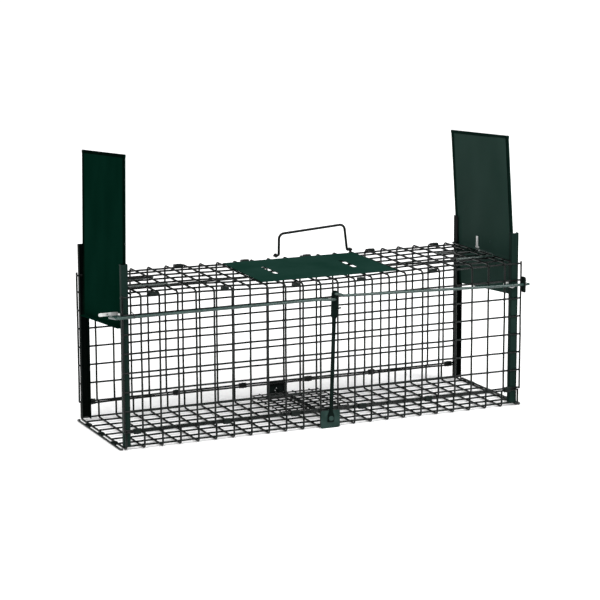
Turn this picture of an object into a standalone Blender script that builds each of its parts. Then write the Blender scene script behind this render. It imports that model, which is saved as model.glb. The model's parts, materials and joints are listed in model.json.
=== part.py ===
"""Two-entrance live catch trap of welded wire mesh, with two drop doors, a treadle and a trigger linkage.

Metres, +Z up, +X along the cage, +Y towards its back. The origin is on the ground under the cage's middle.
The doors are raised and the trigger is set.
"""

import math

import bmesh
import bpy
from mathutils import Matrix, Vector

# Wire mesh
PITCH = 0.0254
CELLS_LONG = 23
CELLS_DEEP = 7
CELLS_HIGH = 7
STRUT = 0.0025  # corner to corner of a diamond section with a 2 mm round wire's area
GAP = 0.0003  # between separate solids that touch on the real trap
LENGTH = CELLS_LONG * PITCH
DEPTH = CELLS_DEEP * PITCH
STRIP_THICK = 0.0012  # the flat strip that the floor mesh rests on
FLOOR_Z = STRIP_THICK + GAP + STRUT / 2
TRAY_INSET = 0.0025
HOOD_BOTTOM = 0.0260
LIP_TOP = HOOD_BOTTOM - STRUT - GAP
HOOD_TOP = HOOD_BOTTOM + CELLS_HIGH * PITCH
SIDE_Y = DEPTH / 2
END_X = LENGTH / 2
EDGE_STEP = STRUT + 0.0004  # from a bent corner's wire to the next one round the bend

# Door channels
CHANNEL_X = END_X - 0.0071  # middle of the door slot
CHANNEL_WIDTH = 0.009
CHANNEL_DEPTH = 0.008
CHANNEL_WALL = 0.0009
CHANNEL_TOP = HOOD_TOP + 0.0407
CHANNEL_Y = SIDE_Y - STRUT / 2 - GAP
TOP_END = CHANNEL_X - CHANNEL_WIDTH / 2 - STRUT / 2 - 0.00075

# Drop doors
DOOR_X = CHANNEL_X + 0.0012  # a door stands against the outer side of its slot
DOOR_WIDTH = 2 * (CHANNEL_Y - 0.00465)
DOOR_HEIGHT = HOOD_TOP + 0.0182
SHEET = 0.001
DOOR_TRAVEL = (HOOD_TOP - 0.0498, HOOD_TOP - 0.0533)  # of the left door and the right one
DOOR_SHIFT = -0.0024  # the closed door stands this far off the middle, towards the eyelet
DOOR_CANT = (-3.8, -3.6)  # degrees: a raised door hangs by its front corner, so its back corner drops
DOOR_LEAN = (2.3, 1.9)  # degrees: and its top leans in over the cage
DOOR_TWIST = 0.3  # degrees: and it is turned a little in its slot
CLOSED_GAP = 0.0011  # from the floor mesh to a closed door
LIP_LENGTH = 0.008
LIP_SIDE = 0.0095  # from the door's edge to its lip's end
EYELET_Y = -(SIDE_Y - 0.0229)
EYELET_RISE = 0.014
EYELET_BORE = 0.0042
EYELET_BARREL = 0.006
EYELET_FLANGE = 0.009
EYELET_FLANGE_THICK = 0.001

# Treadle, axle and lever
AXLE_X = (CELLS_LONG + 1) % 2 * PITCH / 2 + 0.0008  # near the middle of the middle cell
AXLE_Z = 0.0135
AXLE_DIA = 0.004
TREADLE_CELLS = 8
TREADLE_PITCH = 0.0127
TREADLE_STRUT = 0.002
TREADLE_X = AXLE_X - 0.0018
TREADLE_Y = 0.007
BRACKET_WIDTH = 0.028
BRACKET_HEIGHT = 0.0240
PLATE = 0.0015
LEVER_THICK = 0.0018
LEVER_WIDTH = 0.005
LEVER_HEAD = 0.0095
LEVER_NECK_Z = HOOD_TOP - 0.0498
LEVER_LEAN = math.radians(2.0)
PIN_CLEARANCE = 0.0004

# Trigger rods
ROD_DIA = 0.0034
FINGER_DIA = 0.003
LEFT_PIN_Z = HOOD_TOP - 0.0275
RIGHT_PIN_Z = HOOD_TOP - 0.0203
LEFT_ROD_Z = HOOD_TOP - 0.0256
RIGHT_ROD_Z = HOOD_TOP - 0.0232
RIGHT_ROD_END_Z = HOOD_TOP - 0.0306
ROD_REACH = END_X + 0.0094
TIP_GAP = 0.0005
FINGER_X = CHANNEL_X - CHANNEL_WIDTH / 2 - FINGER_DIA / 2 - 0.0005
GUIDE_X = (0.0131 - END_X, END_X + 0.0014)
GUIDE_WIDTH = 0.010
GUIDE_HEIGHT = 0.022

# Carrying fittings and small parts
TOP_PLATE_X = (-0.0885, 0.1145)
TOP_PLATE_DEPTH = 0.138
SLOT_X = (-0.0475, 0.069)
SLOT_LENGTH = 0.052
SLOT_WIDTH = 0.006
HANDLE_X = (0.0028, 0.1082)
HANDLE_Y = SIDE_Y - 0.0054
HANDLE_RISE = (0.0300, 0.0370)  # it stands a little racked
HANDLE_TAPER = (0.0005, 0.0045)
HANDLE_DIA = 0.003
SADDLE_WALL = 0.0008
SADDLE_LENGTH = 0.004
STRIP_X = (-0.156, END_X + 0.0024)
STRIP_WIDTH = 0.014
SILL_DIA = 0.003
SILL_X = END_X + 0.0044
CLIP_WALL = 0.0008
CLIP_LENGTH = 0.009
SEAM_CLIPS = (0.71, 5.59, 9.53, 13.47, -5.59, -0.71)  # cells from the left end, or back from the right
FRONT_TOP_CLIPS = (1.66, 5.59, 9.61, 13.39, -5.36)
BACK_TOP_CLIPS = (1.66, 5.71, 9.61, 13.39, -5.71, -1.66)
LATCH_DIA = 0.003
LATCH_HINGE_X = END_X - 0.0781
LATCH_Y = (-0.046, 0.004)
LATCH_FOOT = 0.008

GREEN = (0.012, 0.032, 0.026)
DARK_GREEN = (0.006, 0.012, 0.010)
ZINC = (0.45, 0.46, 0.45)
LEFT, RIGHT = -1, 1
FRONT, BACK = -1, 1
SIDE_NAMES = {LEFT: "left", RIGHT: "right"}
FACE_NAMES = {FRONT: "front", BACK: "back"}


def clear_scene():
    for obj in list(bpy.data.objects):
        bpy.data.objects.remove(obj, do_unlink=True)


def new_collection(name):
    collection = bpy.data.collections.new(name)
    bpy.context.scene.collection.children.link(collection)
    return collection


def material(name, colour, roughness, metallic):
    made = bpy.data.materials.new(name)
    made.use_nodes = True
    shader = made.node_tree.nodes["Principled BSDF"]
    shader.inputs["Base Color"].default_value = (*colour, 1)
    shader.inputs["Roughness"].default_value = roughness
    shader.inputs["Metallic"].default_value = metallic
    return made


def add(name, data, finish):
    """Links the data as a named object with its material."""
    obj = bpy.data.objects.new(name, data)
    parts.objects.link(obj)
    data.materials.append(finish)
    return obj


def empty(name, location):
    """A marker on a joint's axis, which its moving pieces are parented to."""
    obj = bpy.data.objects.new(name, None)
    obj.location = location
    obj.empty_display_size = 0.02
    parts.objects.link(obj)
    return obj


def hang(obj, parent):
    """Parents a piece that is modelled in world space."""
    bpy.context.view_layer.update()
    world = obj.matrix_world.copy()
    obj.parent = parent
    obj.matrix_parent_inverse = parent.matrix_world.inverted()
    obj.matrix_world = world
    return obj


def wire_grid(name, columns, rows, strut, place, finish):
    """A welded mesh panel with wires at these columns and rows. place turns its (x, y) plane into the world."""
    grid = bmesh.new()
    bmesh.ops.create_grid(grid, x_segments=len(columns) - 1, y_segments=len(rows) - 1, size=1)
    for vert in grid.verts:
        column = round((vert.co.x + 1) / 2 * (len(columns) - 1))
        row = round((vert.co.y + 1) / 2 * (len(rows) - 1))
        vert.co = Vector((columns[column], rows[row], 0))
    mesh = bpy.data.meshes.new(name)
    grid.to_mesh(mesh)
    grid.free()
    obj = add(name, mesh, finish)
    obj.matrix_world = place
    wires = obj.modifiers.new("Wires", "WIREFRAME")
    wires.thickness = strut
    wires.use_boundary = True
    wires.use_replace = True
    wires.use_even_offset = True
    return obj


def outline(name, loops, thickness, place, finish):
    """A flat plate: its first loop is its edge and the others are holes. place sets its (x, y) plane."""
    curve = bpy.data.curves.new(name, "CURVE")
    curve.dimensions = "2D"
    curve.fill_mode = "BOTH"
    curve.extrude = thickness / 2
    for loop in loops:
        spline = curve.splines.new("POLY")
        spline.points.add(len(loop) - 1)
        for point, (x, y) in zip(spline.points, loop):
            point.co = (x, y, 0, 1)
        spline.use_cyclic_u = True
    obj = add(name, curve, finish)
    obj.matrix_world = place
    return obj


def rod(name, points, diameter, finish):
    """A round bar through these points."""
    curve = bpy.data.curves.new(name, "CURVE")
    curve.dimensions = "3D"
    curve.bevel_depth = diameter / 2
    curve.bevel_resolution = 2
    curve.use_fill_caps = True
    spline = curve.splines.new("POLY")
    spline.points.add(len(points) - 1)
    for point, co in zip(spline.points, points):
        point.co = (*co, 1)
    return add(name, curve, finish)


def rounded(corners, radius, steps=3):
    """The corner points of a path, with each inner corner turned into an arc."""
    made = [Vector(corners[0])]
    for before, corner, after in zip(corners, corners[1:], corners[2:]):
        corner = Vector(corner)
        to_start = (Vector(before) - corner).normalized()
        to_end = (Vector(after) - corner).normalized()
        half = to_start.angle(to_end) / 2
        back = radius / math.tan(half)
        centre = corner + (to_start + to_end).normalized() * (radius / math.sin(half))
        start = corner + to_start * back - centre
        end = corner + to_end * back - centre
        for step in range(steps + 1):
            made.append(centre + radius * start.slerp(end, step / steps))
    made.append(Vector(corners[-1]))
    return made


def circle(x, y, diameter, sides=16):
    return [
        (x + diameter / 2 * math.cos(math.tau * i / sides), y + diameter / 2 * math.sin(math.tau * i / sides))
        for i in range(sides)
    ]


def rectangle(x0, x1, y0, y1):
    return [(x0, y0), (x1, y0), (x1, y1), (x0, y1)]


def chamfered(x, y, width, height, cut):
    a, b = width / 2, height / 2
    return [
        (x - a + cut, y - b), (x + a - cut, y - b), (x + a, y - b + cut), (x + a, y + b - cut),
        (x + a - cut, y + b), (x - a + cut, y + b), (x - a, y + b - cut), (x - a, y - b + cut),
    ]


def facing_x(x):
    """Places a plate so that its own x runs along world Y and its own y along world Z."""
    return Matrix(((0, 0, 1, x), (1, 0, 0, 0), (0, 1, 0, 0), (0, 0, 0, 1)))


def facing_y(y):
    """Places a plate so that its own x runs along world X and its own y along world Z."""
    return Matrix(((1, 0, 0, 0), (0, 0, -1, y), (0, 1, 0, 0), (0, 0, 0, 1)))


def facing_z(z):
    return Matrix.Translation((0, 0, z))


def spread(start, end, cells):
    return [start + (end - start) * i / cells for i in range(cells + 1)]


def make_cage():
    """The hood (top, front and back) and the floor tray with its two upturned lips."""
    columns = spread(-END_X, END_X, CELLS_LONG)
    edge = SIDE_Y - EDGE_STEP
    top_columns = [-TOP_END, *columns[1:-1], TOP_END]
    top_rows = spread(-edge, edge, CELLS_DEEP)
    wire_grid("hood_top_mesh", top_columns, top_rows, STRUT, facing_z(HOOD_TOP), painted)
    hood_rows = spread(HOOD_BOTTOM, HOOD_TOP, CELLS_HIGH)
    tray_end = END_X - TRAY_INSET
    tray_columns = spread(-tray_end, tray_end, CELLS_LONG)
    wire_grid("floor_mesh", tray_columns, top_rows, STRUT, facing_z(FLOOR_Z), painted)
    lip_rows = [FLOOR_Z + EDGE_STEP / 2, LIP_TOP]
    for face, label in FACE_NAMES.items():
        place = facing_y(face * SIDE_Y)
        wire_grid(f"hood_{label}_mesh", columns, hood_rows, STRUT, place, painted)
        wire_grid(f"floor_{label}_lip", tray_columns, lip_rows, STRUT, place, painted)


def make_channel(side, face):
    """One of the four U-shaped door guides, open towards the cage's middle."""
    half, inner = CHANNEL_WIDTH / 2, CHANNEL_WIDTH / 2 - CHANNEL_WALL
    web, lip = CHANNEL_Y, CHANNEL_Y - CHANNEL_DEPTH
    profile = [
        (-half, lip), (-half, web), (half, web), (half, lip),
        (inner, lip), (inner, web - CHANNEL_WALL), (-inner, web - CHANNEL_WALL), (-inner, lip),
    ]
    bottom = FLOOR_Z + STRUT / 2 + GAP
    loop = [(side * CHANNEL_X + x, face * y) for x, y in profile]
    name = f"{SIDE_NAMES[side]}_{FACE_NAMES[face]}_channel"
    height = CHANNEL_TOP - bottom
    outline(name, [loop], height, facing_z(bottom + height / 2), painted)


def make_sill(side):
    """The round bar across the doorway at ground level."""
    tray_end = END_X - TRAY_INSET + STRUT / 2
    inner = tray_end + SILL_DIA / 2 + GAP
    straight, end, z = 0.0815, 0.0855, SILL_DIA / 2
    corners = [
        (side * inner, -end, z), (side * (SILL_X - 0.001), -end + 0.001, z), (side * SILL_X, -straight, z),
        (side * SILL_X, straight, z), (side * (SILL_X - 0.001), end - 0.001, z), (side * inner, end, z),
    ]
    rod(f"{SIDE_NAMES[side]}_sill", corners, SILL_DIA, painted)


def sleeve(name, x, y, width, height, place, finish):
    """A crimped wire clip: a short sheet-metal sleeve round two wires, with this room inside."""
    inner = chamfered(x, y, width, height, 0.0006)
    outer = chamfered(x, y, width + 2 * CLIP_WALL, height + 2 * CLIP_WALL, 0.0012)
    outline(name, [outer, inner], CLIP_LENGTH, place, finish)


def clip_x(cells):
    """This many cells from the cage's left end, or back from its right end."""
    return math.copysign(END_X, -cells) + cells * PITCH


def make_clips():
    """The clips that tie the hood to the tray along the seam, and those along the hood's top edges."""
    room = STRUT + 2 * GAP
    for face, label in FACE_NAMES.items():
        seam = (LIP_TOP + HOOD_BOTTOM) / 2
        for i, cells in enumerate(SEAM_CLIPS, 1):
            sleeve(
                f"{label}_seam_clip_{i}", face * SIDE_Y, seam, room, HOOD_BOTTOM - LIP_TOP + room,
                facing_x(clip_x(cells)), painted,
            )
        corner = face * (SIDE_Y - EDGE_STEP / 2)
        for i, cells in enumerate(FRONT_TOP_CLIPS if face == FRONT else BACK_TOP_CLIPS, 1):
            place = facing_x(clip_x(cells))
            sleeve(f"{label}_top_clip_{i}", corner, HOOD_TOP, EDGE_STEP + room, room, place, painted)


def make_floor_strip():
    """The flat bar under the floor mesh, which the cage rests on."""
    loop = rectangle(*STRIP_X, -STRIP_WIDTH / 2, STRIP_WIDTH / 2)
    outline("floor_strip", [loop], STRIP_THICK, facing_z(STRIP_THICK / 2), painted)


def make_top_plate():
    half = TOP_PLATE_DEPTH / 2
    slots = [
        rectangle(x - SLOT_WIDTH / 2, x + SLOT_WIDTH / 2, -SLOT_LENGTH / 2, SLOT_LENGTH / 2) for x in SLOT_X
    ]
    z = HOOD_TOP + STRUT / 2 + GAP + SHEET / 2
    outline("top_plate", [rectangle(*TOP_PLATE_X, -half, half), *slots], SHEET, facing_z(z), painted)


def make_handle():
    """The wire bail, and the two saddles that its feet turn in."""
    floor = HOOD_TOP + STRUT / 2 + GAP
    clearance = HANDLE_DIA / 2 + PIN_CLEARANCE
    axis_z = floor + clearance
    (x0, x1), (rise0, rise1) = HANDLE_X, HANDLE_RISE
    foot = SADDLE_LENGTH + 0.0035
    corners = [
        (x0 - foot, HANDLE_Y, axis_z), (x0, HANDLE_Y, axis_z),
        (x0 + HANDLE_TAPER[0], HANDLE_Y, axis_z + rise0), (x1 - HANDLE_TAPER[1], HANDLE_Y, axis_z + rise1),
        (x1, HANDLE_Y, axis_z), (x1 + foot, HANDLE_Y, axis_z),
    ]
    path = [Vector(corners[0]), *rounded(corners[1:-1], 0.007), Vector(corners[-1])]
    pivot = empty("handle_axis", ((x0 + x1) / 2, HANDLE_Y, axis_z))
    hang(rod("handle", path, HANDLE_DIA, painted), pivot)
    out, inside = clearance + SADDLE_WALL, clearance
    top = axis_z + clearance
    profile = [
        (-out, floor), (-inside, floor), (-inside, top), (inside, top),
        (inside, floor), (out, floor), (out, top + SADDLE_WALL), (-out, top + SADDLE_WALL),
    ]
    loop = [(HANDLE_Y + y, z) for y, z in profile]
    away = HANDLE_DIA / 2 + 0.001 + SADDLE_LENGTH / 2
    for label, x in (("left", x0 - away), ("right", x1 + away)):
        outline(f"handle_saddle_{label}", [loop], SADDLE_LENGTH, facing_x(x), painted)


def make_latch(side):
    """A U-shaped wire that lies on the top mesh with its end at the door. It is hinged on its two feet."""
    z = HOOD_TOP + STRUT / 2 + GAP + LATCH_DIA / 2
    tip = CHANNEL_X - SHEET / 2 - LATCH_DIA / 2 - 0.0045
    y0, y1 = LATCH_Y
    corners = [
        (side * LATCH_HINGE_X, y0 - LATCH_FOOT, z), (side * LATCH_HINGE_X, y0, z), (side * tip, y0, z),
        (side * tip, y1, z), (side * LATCH_HINGE_X, y1, z), (side * LATCH_HINGE_X, y1 + LATCH_FOOT, z),
    ]
    pivot = empty(f"{SIDE_NAMES[side]}_latch_axis", (side * LATCH_HINGE_X, (y0 + y1) / 2, z))
    hang(rod(f"{SIDE_NAMES[side]}_latch", rounded(corners, 0.004), LATCH_DIA, painted), pivot)


def raised_eyelet_z(side):
    return FLOOR_Z + STRUT / 2 + CLOSED_GAP + EYELET_RISE + DOOR_TRAVEL[side == RIGHT]


def raised_turn(side):
    """How a raised door is turned about its eyelet: the vector's direction is the axis, its length the angle."""
    cant, lean = DOOR_CANT[side == RIGHT], DOOR_LEAN[side == RIGHT]
    return Vector((math.radians(cant), -side * math.radians(lean), math.radians(DOOR_TWIST)))


def make_door(side):
    """A sheet door with a turned-out bottom lip, hung from its eyelet, canted and leaning in its channels."""
    name = SIDE_NAMES[side]
    hung = Vector((side * DOOR_X, EYELET_Y, raised_eyelet_z(side)))
    slide = empty(f"{name}_door_slide_axis", hung)
    swing = empty(f"{name}_door_swing_axis", hung)
    left, right = DOOR_SHIFT - DOOR_WIDTH / 2 - EYELET_Y, DOOR_SHIFT + DOOR_WIDTH / 2 - EYELET_Y
    bottom, top = -EYELET_RISE, DOOR_HEIGHT - EYELET_RISE
    fold = LIP_LENGTH * side
    shape = bmesh.new()
    edge = [(left, bottom), (left + LIP_SIDE, bottom), (right - LIP_SIDE, bottom), (right, bottom)]
    corners = [shape.verts.new((0, y, z)) for y, z in [*edge, (right, top), (left, top)]]
    shape.faces.new(corners)
    lip = [shape.verts.new((fold, y, bottom)) for y in (left + LIP_SIDE, right - LIP_SIDE)]
    shape.faces.new([corners[2], corners[1], lip[0], lip[1]])
    bmesh.ops.recalc_face_normals(shape, faces=shape.faces)
    mesh = bpy.data.meshes.new(f"{name}_door")
    shape.to_mesh(mesh)
    shape.free()
    door = add(f"{name}_door", mesh, painted)
    skin = door.modifiers.new("Sheet", "SOLIDIFY")
    skin.thickness = SHEET
    skin.offset = 0
    skin.use_even_offset = True
    skin.use_quality_normals = True
    hole = door.modifiers.new("Eyelet hole", "BOOLEAN")
    hole.object = cutter(f"{name}_door_hole", EYELET_BARREL + 2 * PIN_CLEARANCE)
    hole.object.parent = door
    door.parent = swing
    swing.rotation_mode = "QUATERNION"
    turn = raised_turn(side)
    swing.rotation_quaternion = Matrix.Rotation(turn.length, 4, turn).to_quaternion()
    make_eyelet(side, slide)


def cutter(name, diameter):
    """A round cutter along X."""
    shape = bmesh.new()
    radius = diameter / 2
    turn = Matrix.Rotation(math.pi / 2, 4, "Y")
    bmesh.ops.create_cone(
        shape, cap_ends=True, segments=20, radius1=radius, radius2=radius, depth=0.02, matrix=turn
    )
    mesh = bpy.data.meshes.new(name)
    shape.to_mesh(mesh)
    shape.free()
    obj = bpy.data.objects.new(name, mesh)
    cutters.objects.link(obj)
    obj.hide_render = True
    obj.display_type = "WIRE"
    return obj


def make_eyelet(side, slide):
    """The flanged bush in the door's front corner that the trigger's tip points into."""
    reach = SHEET / 2 + GAP
    flange = reach + EYELET_FLANGE_THICK
    bore, barrel, rim = EYELET_BORE / 2, EYELET_BARREL / 2, EYELET_FLANGE / 2
    half = [(rim, flange), (rim, reach), (barrel, reach)]
    profile = [(bore, flange), *half, *[(r, -z) for r, z in reversed(half)], (bore, -flange)]
    shape = bmesh.new()
    verts = [shape.verts.new((r, 0, z)) for r, z in profile]
    for first, second in zip(verts, verts[1:] + verts[:1]):
        shape.edges.new((first, second))
    name = f"{SIDE_NAMES[side]}_door_eyelet"
    mesh = bpy.data.meshes.new(name)
    shape.to_mesh(mesh)
    shape.free()
    obj = add(name, mesh, zinc)
    obj.rotation_euler = (0, math.pi / 2, 0)
    obj.parent = slide
    turned = obj.modifiers.new("Turn", "SCREW")
    turned.steps = turned.render_steps = 20
    turned.use_merge_vertices = True
    turned.merge_threshold = 0.00001


def make_treadle():
    """The see-saw mesh panel, its axle, the lever on the axle's front end and the two brackets."""
    bracket_y = SIDE_Y + STRUT / 2 + GAP + PLATE / 2
    lever_y = -(bracket_y + PLATE / 2 + GAP + LEVER_THICK / 2)
    axle_end = -lever_y + LEVER_THICK / 2 + 0.0015
    pivot = empty("treadle_axis", (AXLE_X, 0, AXLE_Z))
    ends = [(AXLE_X, -axle_end, AXLE_Z), (AXLE_X, axle_end, AXLE_Z)]
    hang(rod("treadle_axle", ends, AXLE_DIA, painted), pivot)
    half = TREADLE_CELLS * TREADLE_PITCH / 2
    panel_z = AXLE_Z + AXLE_DIA / 2 + GAP + TREADLE_STRUT / 2
    columns = spread(TREADLE_X - half, TREADLE_X + half, TREADLE_CELLS)
    rows = spread(TREADLE_Y - half, TREADLE_Y + half, TREADLE_CELLS)
    panel = wire_grid("treadle_panel", columns, rows, TREADLE_STRUT, facing_z(panel_z), painted)
    hang(panel, pivot)
    for face, label in FACE_NAMES.items():
        loop = rectangle(AXLE_X - BRACKET_WIDTH / 2, AXLE_X + BRACKET_WIDTH / 2, 0, BRACKET_HEIGHT)
        hole = circle(AXLE_X, AXLE_Z, AXLE_DIA + 2 * PIN_CLEARANCE)
        outline(f"treadle_{label}_bracket", [loop, hole], PLATE, facing_y(face * bracket_y), painted)
    hang(make_lever(lever_y), pivot)
    return lever_y


def pin_x(z):
    """Where the leaning lever's middle line is at this height."""
    return AXLE_X + (z - AXLE_Z) * math.tan(LEVER_LEAN)


def make_lever(y):
    """The upright strip on the axle, with a wider head that the two rods hook into."""
    stem, head = LEVER_WIDTH / 2, LEVER_HEAD / 2
    foot, neck, top = -0.005, LEVER_NECK_Z - AXLE_Z, RIGHT_PIN_Z - AXLE_Z + 0.0045
    loop = [
        (-0.0045, foot), (0.0045, foot), (0.0045, 0.004), (stem, 0.009), (stem, neck - 0.004),
        (head, neck), (head, top - 0.003), (head - 0.003, top),
        (-head + 0.003, top), (-head, top - 0.003), (-head, neck), (-stem, neck - 0.004),
        (-stem, 0.009), (-0.0045, 0.004),
    ]
    holes = [circle(0, 0, AXLE_DIA + 2 * GAP)]
    for pin_z in (LEFT_PIN_Z, RIGHT_PIN_Z):
        along = (pin_z - AXLE_Z) / math.cos(LEVER_LEAN)
        holes.append(circle(0, along, ROD_DIA + 2 * PIN_CLEARANCE))
    lean = Matrix.Rotation(-LEVER_LEAN, 4, "Z")
    place = Matrix.Translation((AXLE_X, y, AXLE_Z)) @ facing_y(0) @ lean
    return outline("trigger_lever", [loop, *holes], LEVER_THICK, place, painted)


def make_rods(lever_y):
    """The two trigger rods outside the front mesh, each hooked into the lever, and what holds the doors."""
    rod_y = lever_y - LEVER_THICK / 2 - GAP - ROD_DIA / 2
    pin_end = lever_y + LEVER_THICK / 2 - 0.0001
    eyelet_z = raised_eyelet_z(LEFT)
    flange = SHEET / 2 + GAP + EYELET_FLANGE_THICK
    tip = DOOR_X + flange + TIP_GAP
    left_x, right_x = pin_x(LEFT_PIN_Z), pin_x(RIGHT_PIN_Z)
    left = [
        (left_x, pin_end, LEFT_PIN_Z), (left_x, rod_y, LEFT_PIN_Z),
        (left_x - 0.010, rod_y, LEFT_PIN_Z + 0.0005), (left_x - 0.024, rod_y, LEFT_ROD_Z),
        (-ROD_REACH, rod_y, LEFT_ROD_Z),
        (-ROD_REACH, EYELET_Y, eyelet_z), (-tip, EYELET_Y, eyelet_z),
    ]
    right = [
        (right_x, pin_end, RIGHT_PIN_Z), (right_x, rod_y, RIGHT_PIN_Z), (right_x + 0.004, rod_y, RIGHT_PIN_Z),
        (right_x + 0.011, rod_y, RIGHT_ROD_Z),
        (FINGER_X, rod_y, RIGHT_ROD_END_Z), (ROD_REACH, rod_y, RIGHT_ROD_END_Z),
    ]
    left_slide = empty("left_rod_axis", (left_x, rod_y, LEFT_PIN_Z))
    right_slide = empty("right_rod_axis", (right_x, rod_y, RIGHT_PIN_Z))
    hang(rod("left_trigger_rod", rounded(left, 0.0025, 2), ROD_DIA, painted), left_slide)
    hang(rod("right_trigger_rod", rounded(right, 0.0018, 2), ROD_DIA, painted), right_slide)
    start = rod_y + ROD_DIA / 2 + GAP
    inner_tip = DOOR_X - flange - TIP_GAP
    eyelet_z = raised_eyelet_z(RIGHT)
    finger = [(FINGER_X, start, eyelet_z), (FINGER_X, EYELET_Y, eyelet_z), (inner_tip, EYELET_Y, eyelet_z)]
    hang(rod("right_trigger_finger", rounded(finger, 0.002, 2), FINGER_DIA, painted), right_slide)
    outer = SIDE_Y + STRUT / 2 + GAP
    for side, rod_z in ((LEFT, LEFT_ROD_Z), (RIGHT, RIGHT_ROD_END_Z)):
        loop = rectangle(-outer - GUIDE_WIDTH, -outer, rod_z - GUIDE_HEIGHT / 2, rod_z + GUIDE_HEIGHT / 2)
        hole = circle(rod_y, rod_z, ROD_DIA + 2 * PIN_CLEARANCE)
        place = facing_x(GUIDE_X[side == RIGHT])
        outline(f"{SIDE_NAMES[side]}_rod_guide", [loop, hole], PLATE, place, painted)


clear_scene()
parts = new_collection("live_catch_trap")
cutters = new_collection("cutters")
painted = material("green_paint", GREEN, 0.45, 0.1)
zinc = material("zinc_plate", ZINC, 0.35, 0.9)
make_cage()
for SIDE in SIDE_NAMES:
    for FACE in FACE_NAMES:
        make_channel(SIDE, FACE)
    make_sill(SIDE)
    make_door(SIDE)
    make_latch(SIDE)
make_clips()
make_floor_strip()
make_top_plate()
make_handle()
make_rods(make_treadle())
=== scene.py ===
"""The looks of the two-entrance live catch trap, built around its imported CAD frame."""

import json
import math
import random

import bmesh
import bpy
from mathutils import Matrix, Vector


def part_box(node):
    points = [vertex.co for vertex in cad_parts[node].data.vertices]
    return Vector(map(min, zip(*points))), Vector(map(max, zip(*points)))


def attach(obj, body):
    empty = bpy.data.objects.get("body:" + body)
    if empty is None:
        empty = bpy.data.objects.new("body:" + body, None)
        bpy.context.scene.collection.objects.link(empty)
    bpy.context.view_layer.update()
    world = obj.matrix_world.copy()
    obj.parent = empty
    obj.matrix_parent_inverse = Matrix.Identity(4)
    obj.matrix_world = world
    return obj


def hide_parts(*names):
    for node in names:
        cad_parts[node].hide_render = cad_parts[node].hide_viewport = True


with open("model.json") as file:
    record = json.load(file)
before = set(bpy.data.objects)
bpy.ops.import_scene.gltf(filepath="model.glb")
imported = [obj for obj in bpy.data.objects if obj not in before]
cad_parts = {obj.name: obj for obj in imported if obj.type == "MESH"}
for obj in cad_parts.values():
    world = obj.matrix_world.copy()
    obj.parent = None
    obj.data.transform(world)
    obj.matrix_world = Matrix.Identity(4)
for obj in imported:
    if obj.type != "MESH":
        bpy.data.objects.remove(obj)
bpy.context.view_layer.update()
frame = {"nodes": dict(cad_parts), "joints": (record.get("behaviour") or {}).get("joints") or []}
NODES = frame["nodes"]
JOINTS = {joint["name"]: joint for joint in frame["joints"]}
RNG = random.Random(7)

# The welded mesh: its cells are part.py's, and its wire is round
PITCH = 0.0254
CELLS_LONG = 23
CELLS_WIDE = 7
HOOD_CELLS = 7
WIRE = 0.0026
OFFSET = WIRE / 2 - 0.00015  # of a wire's middle from the plane that the crossing wires share
WIRE_END = 0.0009  # how far a cut end passes the last crossing
EDGE_DROP = 0.0012  # the hood's long edge wires lie this far inside its bend
UPRIGHT_WELD = (0.00115, 0.0009, 0.00115)
FLAT_WELD = (0.00115, 0.00115, 0.0009)
HALF_LENGTH = CELLS_LONG * PITCH / 2
SIDE_Y = CELLS_WIDE * PITCH / 2
HOOD_BOTTOM = 0.0260
HOOD_TOP = HOOD_BOTTOM + HOOD_CELLS * PITCH
TRAY_HALF = HALF_LENGTH - 0.0025
FLOOR_Z = 0.00275
LIP_TOP = 0.0232
TOP_END = 0.2785
BEND = 0.0055
SAG = 0.0038  # how deep the middle of the hood's front top edge is pressed in
SAG_WIDTH = 0.130
PRESSED = 0.0012  # and how far the top plate presses the mesh down
PRESSED_HALF = 0.150
PLATE_MIDDLE = 0.013
CHANNEL_X = 0.2850
FRONT_SHIFT = -0.0018  # the front guides stand a little to the left
EXTRA_WIDTH = 0.0020  # the guides are this much wider on their outer side
EXTRA_DEPTH = 0.0045  # and the back ones this much deeper on their inner side
TOP_SLOPE = {-1: 0.0042, 1: -0.001}  # how much taller a door is along its front edge, doubled
SHEET = 0.001

# The trigger
AXLE_X, AXLE_Z = 0.0008, 0.0135
LEVER_LEAN = math.tan(math.radians(2.0))
LEVER_TOP = 0.1700
LEFT_PIN_Z, RIGHT_PIN_Z = 0.1763, 0.1835
CAD_ROD_RADIUS = 0.0017
EYELET_RADIUS = 0.0018
TIP_GAP = 0.0005  # between a rod's tip and its eyelet


# ---------------------------------------------------------------- materials


def shader_of(name):
    made = bpy.data.materials.new(name)
    made.use_nodes = True
    return made, made.node_tree, made.node_tree.nodes["Principled BSDF"]


def link_noise(tree, scale, detail=3.0, stretch=(1, 1, 1)):
    coords = tree.nodes.new("ShaderNodeTexCoord")
    mapping = tree.nodes.new("ShaderNodeMapping")
    mapping.inputs["Scale"].default_value = stretch
    noise = tree.nodes.new("ShaderNodeTexNoise")
    noise.inputs["Scale"].default_value = scale
    noise.inputs["Detail"].default_value = detail
    tree.links.new(coords.outputs["Object"], mapping.inputs["Vector"])
    tree.links.new(mapping.outputs["Vector"], noise.inputs["Vector"])
    return noise.outputs["Fac"]


def ramp(tree, value, stops):
    node = tree.nodes.new("ShaderNodeValToRGB")
    elements = node.color_ramp.elements
    while len(elements) < len(stops):
        elements.new(0.5)
    for element, (position, colour) in zip(elements, stops):
        element.position = position
        element.color = (*colour, 1)
    tree.links.new(value, node.inputs["Fac"])
    return node.outputs["Color"]


def level(tree, value, low, high):
    node = tree.nodes.new("ShaderNodeMapRange")
    node.inputs["To Min"].default_value = low
    node.inputs["To Max"].default_value = high
    tree.links.new(value, node.inputs["Value"])
    return node.outputs["Result"]


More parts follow.
